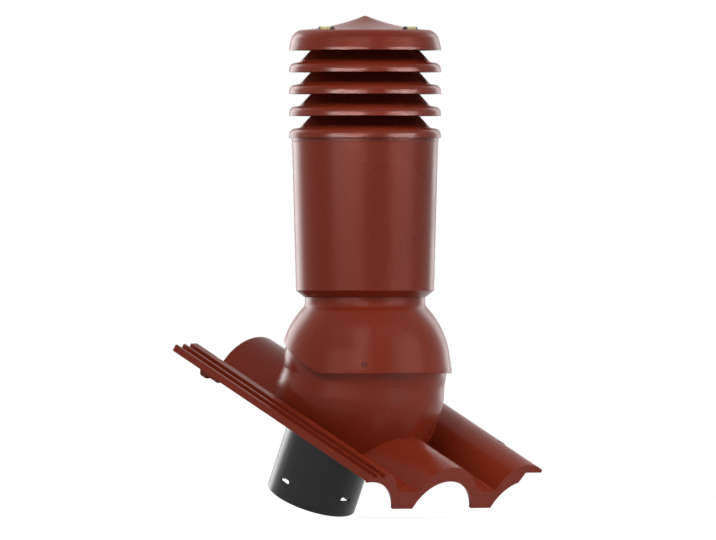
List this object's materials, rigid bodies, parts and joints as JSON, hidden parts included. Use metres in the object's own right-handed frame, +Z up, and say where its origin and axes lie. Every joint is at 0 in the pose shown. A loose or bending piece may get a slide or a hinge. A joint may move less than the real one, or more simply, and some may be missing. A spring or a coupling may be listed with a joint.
{
  "type": "roof tile vent",
  "caption": "Plastic roof tile with a swivelling insulated flue, a louvred conical cap with level vials, and a round duct spigot under the roof.",
  "frame": {"origin": "middle of the two pads that bear on the roof batten, on the plane of the batten's top face", "axes": "+Z up, along the plumb flue; +X across the roof towards the cover side; +Y up the slope, with the tile at 25 degrees"},
  "size_m": [0.3296, 0.3988, 0.6866],
  "materials": {
    "red_plastic": "satin red-brown moulded plastic",
    "black_plastic": "satin black plastic",
    "foam": "grey foam",
    "steel": "zinc plated",
    "screw_paint": "red-brown painted head",
    "seal_rubber": "matt rubber",
    "vial_yellow": "clear yellow vial",
    "vial_black": "black end caps"
  },
  "bodies": {
    "base": {"roof_tile": "red_plastic", "duct_spigot": "black_plastic", "spigot_screws": "steel"},
    "flue": {"swivel_bell": "red_plastic", "bell_lock_screws": "screw_paint", "duct_ball": "black_plastic", "ball_seal": "seal_rubber", "inner_duct": "black_plastic", "neck_ring": "black_plastic", "shroud": "red_plastic", "insulation_half_left": "foam", "insulation_half_right": "foam", "closing_ring": "black_plastic", "louvre_collar": "red_plastic", "cap_cover": "red_plastic", "tie_screws": "steel", "louvre_ring_1": "red_plastic", "louvre_ring_2": "red_plastic", "louvre_ring_3": "red_plastic", "level_vial_left": "vial_yellow", "vial_caps_left": "vial_black", "level_vial_eave": "vial_yellow", "vial_caps_eave": "vial_black"}
  },
  "joints": [
    {"name": "pitch_swivel", "type": "hinge", "parent": "base", "child": "flue", "pos_m": [0, -0.18023, 0.01857], "axis": [1, 0, 0], "range_deg": [-15, 10]}
  ]
}
